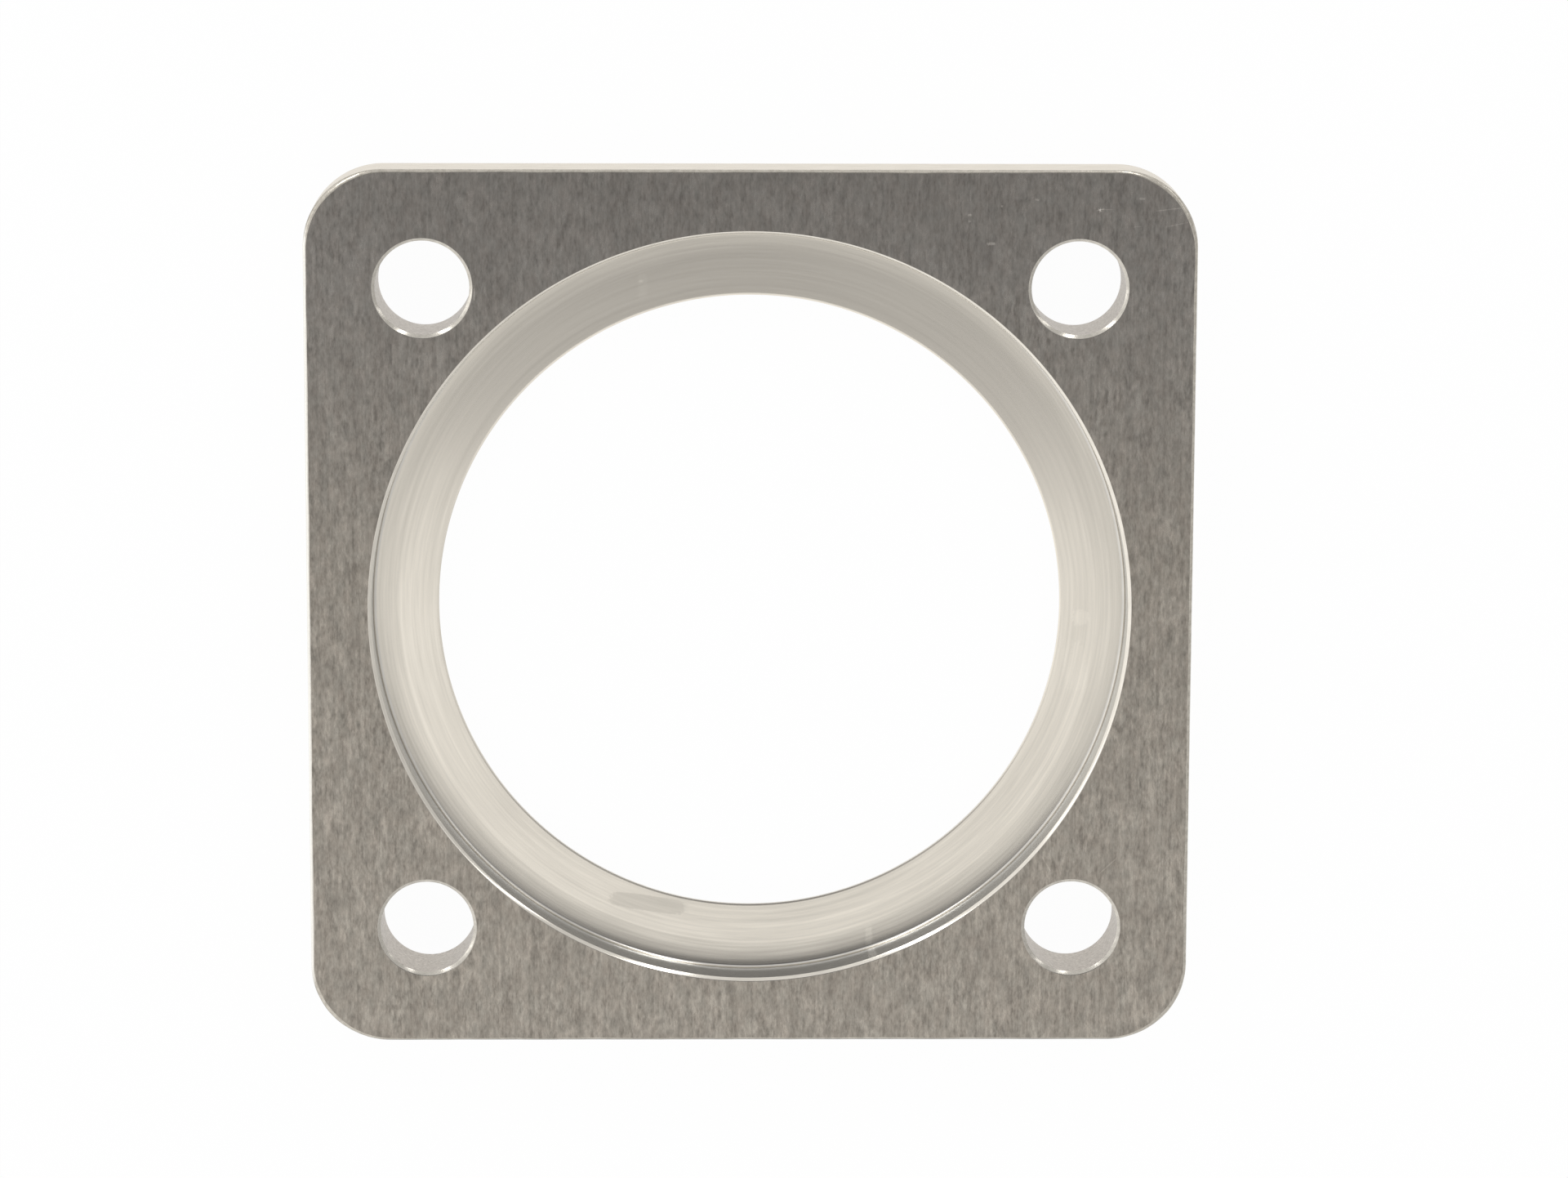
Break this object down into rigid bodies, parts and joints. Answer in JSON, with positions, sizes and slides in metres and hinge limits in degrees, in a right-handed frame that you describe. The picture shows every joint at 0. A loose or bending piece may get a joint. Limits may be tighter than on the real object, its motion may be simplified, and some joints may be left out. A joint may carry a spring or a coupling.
{
  "type": "rectangular flange",
  "caption": "Flat square machined flange with rounded corners, fixing holes near the corners and a wide stepped bore that seats a round part from the front.",
  "frame": {"origin": "middle of the flat back face, on the axis of the bore", "axes": "+Z out of the front face along the bore, +X and +Y along the edges of the plate"},
  "size_m": [0.085, 0.085, 0.0075],
  "materials": {
    "machined_aluminium": "mill-finished faces, turned seat and bore, bright broken edges"
  },
  "bodies": {
    "root": {"flange_plate": "machined_aluminium"}
  },
  "joints": []
}
